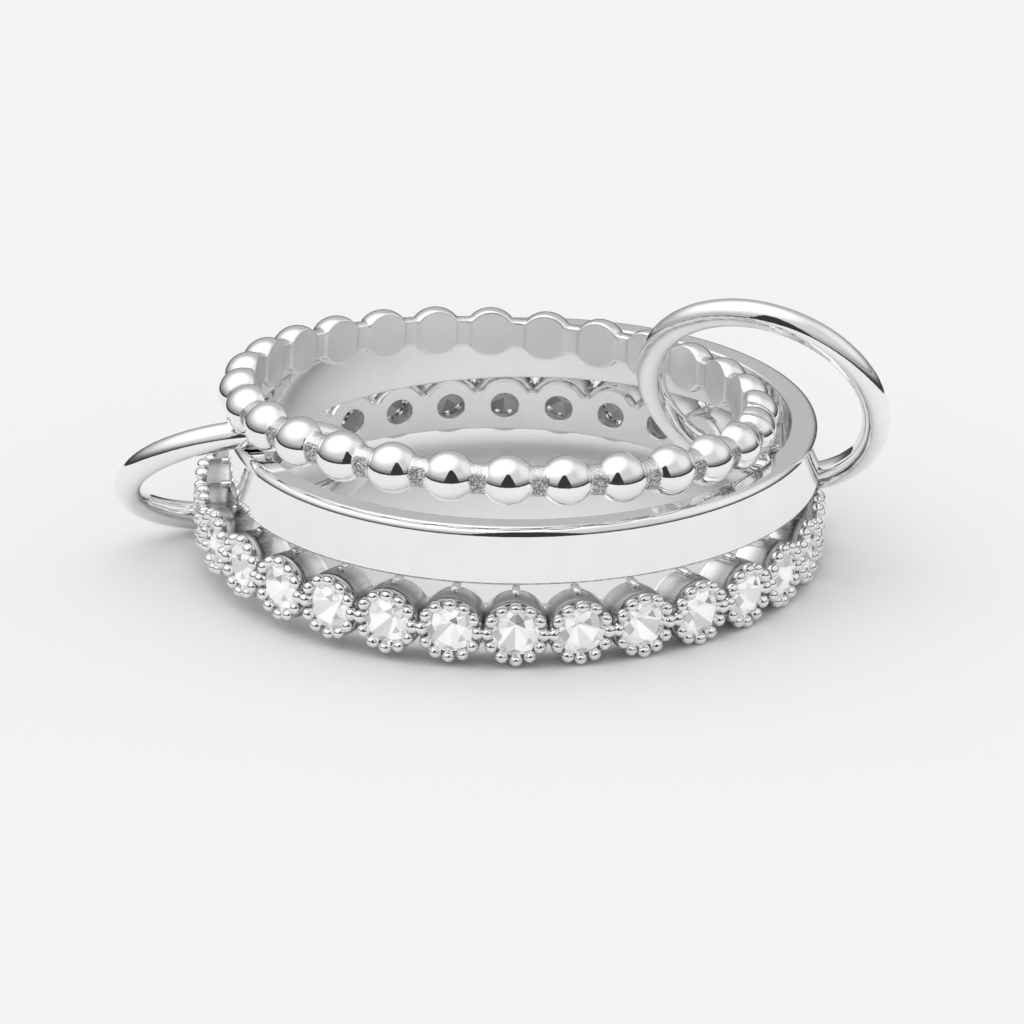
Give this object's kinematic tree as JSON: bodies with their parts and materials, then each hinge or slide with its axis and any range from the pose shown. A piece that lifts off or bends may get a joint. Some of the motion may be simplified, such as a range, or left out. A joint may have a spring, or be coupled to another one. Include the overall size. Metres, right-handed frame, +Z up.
{
  "type": "linked stackable finger rings",
  "caption": "Stack of silver rings, one beaded, one plain, one set with round stones, joined loosely by round wire links.",
  "frame": {"origin": "middle of the box of the whole stack, on the surface it lies on", "axes": "+Z up out of the finger hole, -Y towards the viewer of the picture, +X from the left link to the right link"},
  "size_m": [0.025, 0.0214, 0.0097],
  "materials": {
    "silver": "bright polish, matte grain on the necks between beads",
    "clear_stone": "clear, faceted and polished"
  },
  "bodies": {
    "root": {"beaded_ring": "silver", "plain_band": "silver", "stone_band": "silver", "link_left": "silver", "link_right": "silver", "stone_01": "clear_stone", "stone_02": "clear_stone", "stone_03": "clear_stone", "stone_04": "clear_stone", "stone_05": "clear_stone", "stone_06": "clear_stone", "stone_07": "clear_stone", "stone_08": "clear_stone", "stone_09": "clear_stone", "stone_10": "clear_stone", "stone_11": "clear_stone", "stone_12": "clear_stone", "stone_13": "clear_stone", "stone_14": "clear_stone", "stone_15": "clear_stone", "stone_16": "clear_stone", "stone_17": "clear_stone", "stone_18": "clear_stone", "stone_19": "clear_stone", "stone_20": "clear_stone", "stone_21": "clear_stone", "stone_22": "clear_stone", "stone_23": "clear_stone", "stone_24": "clear_stone", "stone_25": "clear_stone", "stone_26": "clear_stone", "stone_27": "clear_stone", "stone_28": "clear_stone", "stone_29": "clear_stone", "stone_30": "clear_stone"}
  },
  "joints": []
}
